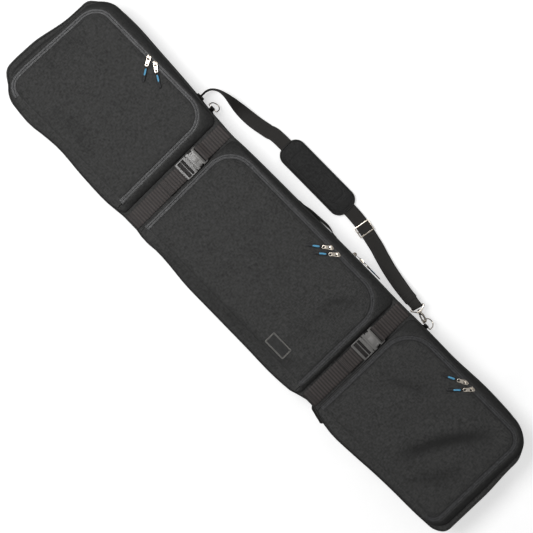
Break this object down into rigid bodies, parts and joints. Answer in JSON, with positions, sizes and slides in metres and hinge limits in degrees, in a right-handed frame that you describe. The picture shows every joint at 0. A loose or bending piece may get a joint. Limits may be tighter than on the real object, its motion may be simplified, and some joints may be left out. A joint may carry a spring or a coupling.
{
  "type": "stand bag",
  "caption": "Long flat padded carry bag with zipped front pockets, a zipped main compartment, buckled compression straps and a padded shoulder strap.",
  "frame": {"origin": "centre of the flat back panel, which is the face the bag rests on", "axes": "+X towards the side with the zips, handle and shoulder strap; +Y towards the upper end of the bag; +Z from the back panel towards the pockets"},
  "size_m": [0.3928, 1.4, 0.1013],
  "materials": {
    "body_polyester": "black oxford weave, matt",
    "flap_polyester": "black oxford weave, matt, lightly mottled",
    "zip_tape": "black coil zip tape",
    "ribbed_webbing": "brownish-black webbing with cross ribs",
    "smooth_webbing": "dense brownish-black webbing",
    "pad_cloth": "black padded cloth",
    "buckle_plastic": "black moulded acetal, glossy",
    "warm_nickel": "warm nickel plate, polished",
    "pull_cord": "black rubberised pull with a light blue inlay",
    "label_weave": "woven patch with a plain pale border"
  },
  "bodies": {
    "shell": {"back_shell": "body_polyester", "main_zip_lower_tape": "zip_tape", "side_handle": "smooth_webbing", "upper_d_ring_tab": "smooth_webbing", "lower_d_ring_tab": "smooth_webbing", "upper_strap_anchor": "smooth_webbing"},
    "lid": {"front_lid": "body_polyester", "main_zip_upper_tape": "zip_tape", "upper_pocket_body": "body_polyester", "upper_pocket_zip": "zip_tape", "middle_pocket_body": "body_polyester", "middle_pocket_zip": "zip_tape", "lower_pocket_body": "body_polyester", "lower_pocket_zip": "zip_tape", "upper_buckle_socket": "buckle_plastic", "upper_strap_left": "ribbed_webbing", "upper_strap_right": "ribbed_webbing", "lower_buckle_socket": "buckle_plastic", "lower_strap_left": "ribbed_webbing", "lower_strap_right": "ribbed_webbing"},
    "upper_flap": {"upper_pocket_flap": "flap_polyester"},
    "middle_flap": {"middle_pocket_flap": "flap_polyester", "label_patch": "label_weave"},
    "lower_flap": {"lower_pocket_flap": "flap_polyester"},
    "upper_a_slider": {"upper_a_slider": "warm_nickel"},
    "upper_a_tab": {"upper_a_pull_tab": "warm_nickel"},
    "upper_a_cord": {"upper_a_cord_pull": "pull_cord"},
    "upper_b_slider": {"upper_b_slider": "warm_nickel"},
    "upper_b_tab": {"upper_b_pull_tab": "warm_nickel"},
    "upper_b_cord": {"upper_b_cord_pull": "pull_cord"},
    "middle_a_slider": {"middle_a_slider": "warm_nickel"},
    "middle_a_tab": {"middle_a_pull_tab": "warm_nickel"},
    "middle_a_cord": {"middle_a_cord_pull": "pull_cord"},
    "middle_b_slider": {"middle_b_slider": "warm_nickel"},
    "middle_b_tab": {"middle_b_pull_tab": "warm_nickel"},
    "middle_b_cord": {"middle_b_cord_pull": "pull_cord"},
    "lower_a_slider": {"lower_a_slider": "warm_nickel"},
    "lower_a_tab": {"lower_a_pull_tab": "warm_nickel"},
    "lower_a_cord": {"lower_a_cord_pull": "pull_cord"},
    "lower_b_slider": {"lower_b_slider": "warm_nickel"},
    "lower_b_tab": {"lower_b_pull_tab": "warm_nickel"},
    "lower_b_cord": {"lower_b_cord_pull": "pull_cord"},
    "main_a_slider": {"main_a_slider": "warm_nickel"},
    "main_a_tab": {"main_a_pull_tab": "warm_nickel"},
    "main_a_cord": {"main_a_cord_pull": "pull_cord"},
    "main_b_slider": {"main_b_slider": "warm_nickel"},
    "main_b_tab": {"main_b_pull_tab": "warm_nickel"},
    "main_b_cord": {"main_b_cord_pull": "pull_cord"},
    "upper_plug": {"upper_buckle_plug": "buckle_plastic", "upper_strap_tail": "ribbed_webbing"},
    "lower_plug": {"lower_buckle_plug": "buckle_plastic", "lower_strap_tail": "ribbed_webbing"},
    "strap": {"shoulder_strap": "smooth_webbing", "swivel_eye": "warm_nickel"},
    "hook": {"hook_body": "warm_nickel"},
    "gate": {"hook_gate": "warm_nickel"},
    "pad": {"shoulder_pad": "pad_cloth"},
    "glide": {"tri_glide": "warm_nickel"},
    "upper_ring": {"upper_d_ring": "warm_nickel"},
    "lower_ring": {"lower_d_ring": "warm_nickel"}
  },
  "joints": [
    {"name": "lid_hinge", "type": "hinge", "parent": "shell", "child": "lid", "pos_m": [-0.1484, 0, 0.0671], "axis": [0, -1, 0], "range_deg": [0, 110]},
    {"name": "upper_flap_hinge", "type": "hinge", "parent": "lid", "child": "upper_flap", "pos_m": [-0.1413, 0, 0.0956], "axis": [0, -1, 0], "range_deg": [0, 160]},
    {"name": "middle_flap_hinge", "type": "hinge", "parent": "lid", "child": "middle_flap", "pos_m": [-0.1413, 0, 0.0956], "axis": [0, -1, 0], "range_deg": [0, 160]},
    {"name": "lower_flap_hinge", "type": "hinge", "parent": "lid", "child": "lower_flap", "pos_m": [-0.1413, 0, 0.0956], "axis": [0, -1, 0], "range_deg": [0, 160]},
    {"name": "upper_a_slide", "type": "slide", "parent": "upper_flap", "child": "upper_a_slider", "axis": [0, 1, 0], "range_m": [0, 0.125]},
    {"name": "upper_a_tab_hinge", "type": "hinge", "parent": "upper_a_slider", "child": "upper_a_tab", "pos_m": [0.132, 0.499, 0.09905], "axis": [-0.4695, 0.8829, 0], "range_deg": [0, 140]},
    {"name": "upper_a_cord_swing", "type": "hinge", "parent": "upper_a_tab", "child": "upper_a_cord", "pos_m": [0.11699, 0.49102, 0.09905], "axis": [0, 0, 1], "range_deg": [-20, 20]},
    {"name": "upper_b_slide", "type": "slide", "parent": "upper_flap", "child": "upper_b_slider", "axis": [0, 1, 0], "range_m": [-0.1, 0]},
    {"name": "upper_b_tab_hinge", "type": "hinge", "parent": "upper_b_slider", "child": "upper_b_tab", "pos_m": [0.132, 0.48, 0.09905], "axis": [-0.7986, 0.6018, 0], "range_deg": [0, 140]},
    {"name": "upper_b_cord_swing", "type": "hinge", "parent": "upper_b_tab", "child": "upper_b_cord", "pos_m": [0.12177, 0.46642, 0.09905], "axis": [0, 0, 1], "range_deg": [-20, 20]},
    {"name": "middle_a_slide", "type": "slide", "parent": "middle_flap", "child": "middle_a_slider", "axis": [0, 1, 0], "range_m": [0, 0.24]},
    {"name": "middle_a_tab_hinge", "type": "hinge", "parent": "middle_a_slider", "child": "middle_a_tab", "pos_m": [0.1245, -0.082, 0.09905], "axis": [0.766, 0.6428, 0], "range_deg": [0, 140]},
    {"name": "middle_a_cord_swing", "type": "hinge", "parent": "middle_a_tab", "child": "middle_a_cord", "pos_m": [0.11357, -0.06898, 0.09905], "axis": [0, 0, 1], "range_deg": [-10, 10]},
    {"name": "middle_b_slide", "type": "slide", "parent": "middle_flap", "child": "middle_b_slider", "axis": [0, 1, 0], "range_m": [-0.07, 0]},
    {"name": "middle_b_tab_hinge", "type": "hinge", "parent": "middle_b_slider", "child": "middle_b_tab", "pos_m": [0.1245, -0.103, 0.09905], "axis": [0.7314, 0.682, 0], "range_deg": [0, 140]},
    {"name": "middle_b_cord_swing", "type": "hinge", "parent": "middle_b_tab", "child": "middle_b_cord", "pos_m": [0.11291, -0.09057, 0.09905], "axis": [0, 0, 1], "range_deg": [-10, 10]},
    {"name": "lower_a_slide", "type": "slide", "parent": "lower_flap", "child": "lower_a_slider", "axis": [0, 1, 0], "range_m": [0, 0.095]},
    {"name": "lower_a_tab_hinge", "type": "hinge", "parent": "lower_a_slider", "child": "lower_a_tab", "pos_m": [0.128, -0.496, 0.09905], "axis": [0.8746, 0.4848, 0], "range_deg": [0, 140]},
    {"name": "lower_a_cord_swing", "type": "hinge", "parent": "lower_a_tab", "child": "lower_a_cord", "pos_m": [0.11976, -0.48113, 0.09905], "axis": [0, 0, 1], "range_deg": [-20, 20]},
    {"name": "lower_b_slide", "type": "slide", "parent": "lower_flap", "child": "lower_b_slider", "axis": [0, 1, 0], "range_m": [-0.105, 0]},
    {"name": "lower_b_tab_hinge", "type": "hinge", "parent": "lower_b_slider", "child": "lower_b_tab", "pos_m": [0.128, -0.516, 0.09905], "axis": [0.6428, 0.766, 0], "range_deg": [0, 140]},
    {"name": "lower_b_cord_swing", "type": "hinge", "parent": "lower_b_tab", "child": "lower_b_cord", "pos_m": [0.11498, -0.50507, 0.09905], "axis": [0, 0, 1], "range_deg": [-20, 20]},
    {"name": "main_a_slide", "type": "slide", "parent": "shell", "child": "main_a_slider", "axis": [0, 1, 0], "range_m": [0, 0.7]},
    {"name": "main_a_tab_hinge", "type": "hinge", "parent": "main_a_slider", "child": "main_a_tab", "pos_m": [0.15145, -0.128, 0.062], "axis": [0, -0.4226, 0.9063], "range_deg": [0, 140]},
    {"name": "main_a_cord_swing", "type": "hinge", "parent": "main_a_tab", "child": "main_a_cord", "pos_m": [0.15145, -0.14341, 0.05482], "axis": [1, 0, 0], "range_deg": [-4, 4]},
    {"name": "main_b_slide", "type": "slide", "parent": "shell", "child": "main_b_slider", "axis": [0, 1, 0], "range_m": [-0.45, 0]},
    {"name": "main_b_tab_hinge", "type": "hinge", "parent": "main_b_slider", "child": "main_b_tab", "pos_m": [0.15145, -0.15, 0.062], "axis": [0, 0.1736, 0.9848], "range_deg": [0, 140]},
    {"name": "main_b_cord_swing", "type": "hinge", "parent": "main_b_tab", "child": "main_b_cord", "pos_m": [0.15145, -0.16674, 0.06495], "axis": [1, 0, 0], "range_deg": [-4, 4]},
    {"name": "upper_buckle_release", "type": "slide", "parent": "lid", "child": "upper_plug", "axis": [-1, 0, 0], "range_m": [0, 0.035]},
    {"name": "lower_buckle_release", "type": "slide", "parent": "lid", "child": "lower_plug", "axis": [-1, 0, 0], "range_m": [0, 0.035]},
    {"name": "strap_swing", "type": "hinge", "parent": "shell", "child": "strap", "pos_m": [0.152, 0.371, 0.028], "axis": [0, -1, 0], "range_deg": [0, 90]},
    {"name": "lower_ring_swing", "type": "hinge", "parent": "shell", "child": "lower_ring", "pos_m": [0.152, -0.354, 0.028], "axis": [0, -1, 0], "range_deg": [0, 90]},
    {"name": "upper_ring_swing", "type": "hinge", "parent": "shell", "child": "upper_ring", "pos_m": [0.152, 0.331, 0.028], "axis": [0, -1, 0], "range_deg": [-30, 120]},
    {"name": "hook_swivel", "type": "hinge", "parent": "strap", "child": "hook", "pos_m": [0.16293, -0.32228, 0.02411], "axis": [-0.2737, -0.9618, 0.0077], "range_deg": [-12, 12]},
    {"name": "gate_hinge", "type": "hinge", "parent": "hook", "child": "gate", "pos_m": [0.15735, -0.32905, 0.01932], "axis": [0.7772, -0.2259, -0.5874], "range_deg": [-25, 0]},
    {"name": "pad_slide", "type": "slide", "parent": "strap", "child": "pad", "axis": [0, 1, 0], "range_m": [-0.02, 0.02]},
    {"name": "glide_slide", "type": "slide", "parent": "strap", "child": "glide", "axis": [0.1622, 0.9868, 0], "range_m": [-0.018, 0.01]}
  ],
  "couplings": [
    {"joint": "lower_ring_swing", "follows": "strap_swing", "ratio": 1}
  ]
}
